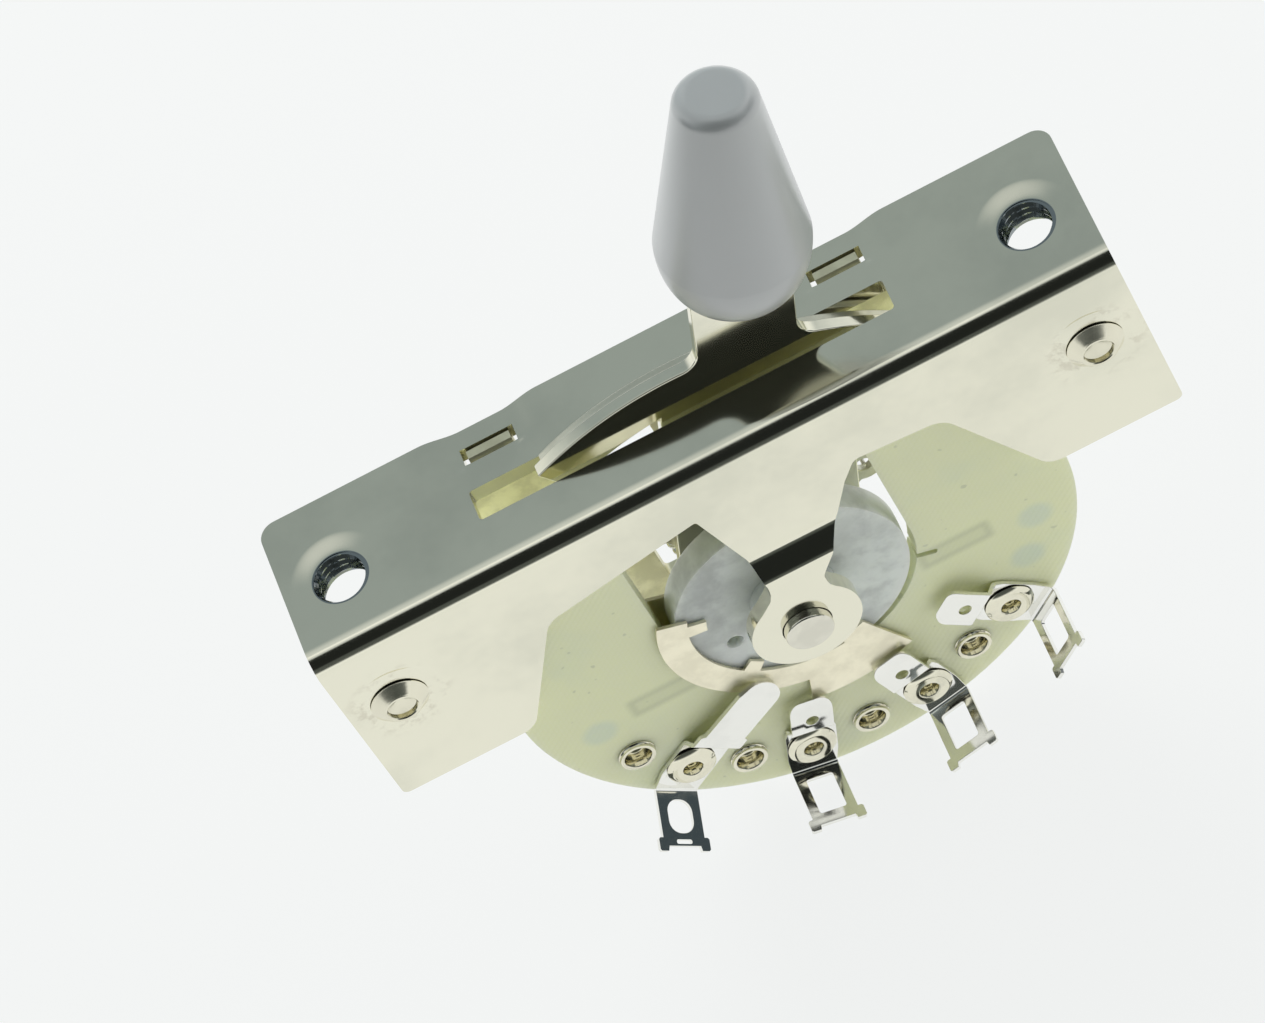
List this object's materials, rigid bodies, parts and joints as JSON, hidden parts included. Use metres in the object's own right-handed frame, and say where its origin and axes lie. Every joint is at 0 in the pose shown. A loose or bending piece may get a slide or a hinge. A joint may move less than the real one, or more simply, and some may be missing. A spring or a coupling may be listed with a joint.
{
  "type": "lever selector switch",
  "caption": "Open-frame lever selector switch with a folded steel frame, a riveted contact wafer, a turning rotor and a push-on lever tip.",
  "frame": {"origin": "on the flange's top face, midway along its length, on the strip in front of the slot; the lever's swing axis is 15.14 mm below it, parallel to Y", "axes": "+Z out of the flange's top face, the way the lever stands; +X along the flange, towards the side where the lever leans at rest; +Y from the front plate to the rear plate"},
  "size_m": [0.0478, 0.0134, 0.0539],
  "materials": {
    "nickel_plated_steel": "bright nickel plate, lightly smudged",
    "satin_steel": "dull plate",
    "turned_steel": "turned, plated",
    "rivet_steel": "bright, rolled over",
    "spring_steel": "drawn wire",
    "ring_metal": "satin silver plate",
    "contact_metal": "bright tinned, punched edges",
    "rivet_metal": "tinned eyelets",
    "laminate": "pale green fibre laminate, fine weave",
    "rotor_plastic": "milky, translucent, satin",
    "tip_plastic": "smooth white, slightly glossy"
  },
  "bodies": {
    "frame": {"contact_front_1": "contact_metal", "contact_front_2": "contact_metal", "contact_front_3": "contact_metal", "contact_front_4": "contact_metal", "contact_rear_1": "contact_metal", "contact_rear_2": "contact_metal", "contact_rear_3": "contact_metal", "contact_rear_4": "contact_metal", "contact_rivet_front_1": "rivet_metal", "contact_rivet_front_2": "rivet_metal", "contact_rivet_front_3": "rivet_metal", "contact_rivet_front_4": "rivet_metal", "contact_rivet_rear_1": "rivet_metal", "contact_rivet_rear_2": "rivet_metal", "contact_rivet_rear_3": "rivet_metal", "contact_rivet_rear_4": "rivet_metal", "frame": "nickel_plated_steel", "frame_rivet_left": "rivet_steel", "frame_rivet_right": "rivet_steel", "pivot_shaft": "turned_steel", "pivot_spacer": "turned_steel", "rear_plate": "satin_steel", "wafer": "laminate"},
    "lever_assembly": {"lever": "nickel_plated_steel", "spring_yoke": "satin_steel", "lever_tip": "tip_plastic", "rotor": "rotor_plastic", "contact_ring_front": "ring_metal", "contact_ring_rear": "ring_metal", "detent_roller": "turned_steel", "detent_spring_left": "spring_steel", "detent_spring_right": "spring_steel"}
  },
  "joints": [
    {"name": "lever_swing", "type": "hinge", "parent": "frame", "child": "lever_assembly", "pos_m": [0, 0, -0.01514], "axis": [0, 1, 0], "range_deg": [-45, 15]}
  ]
}
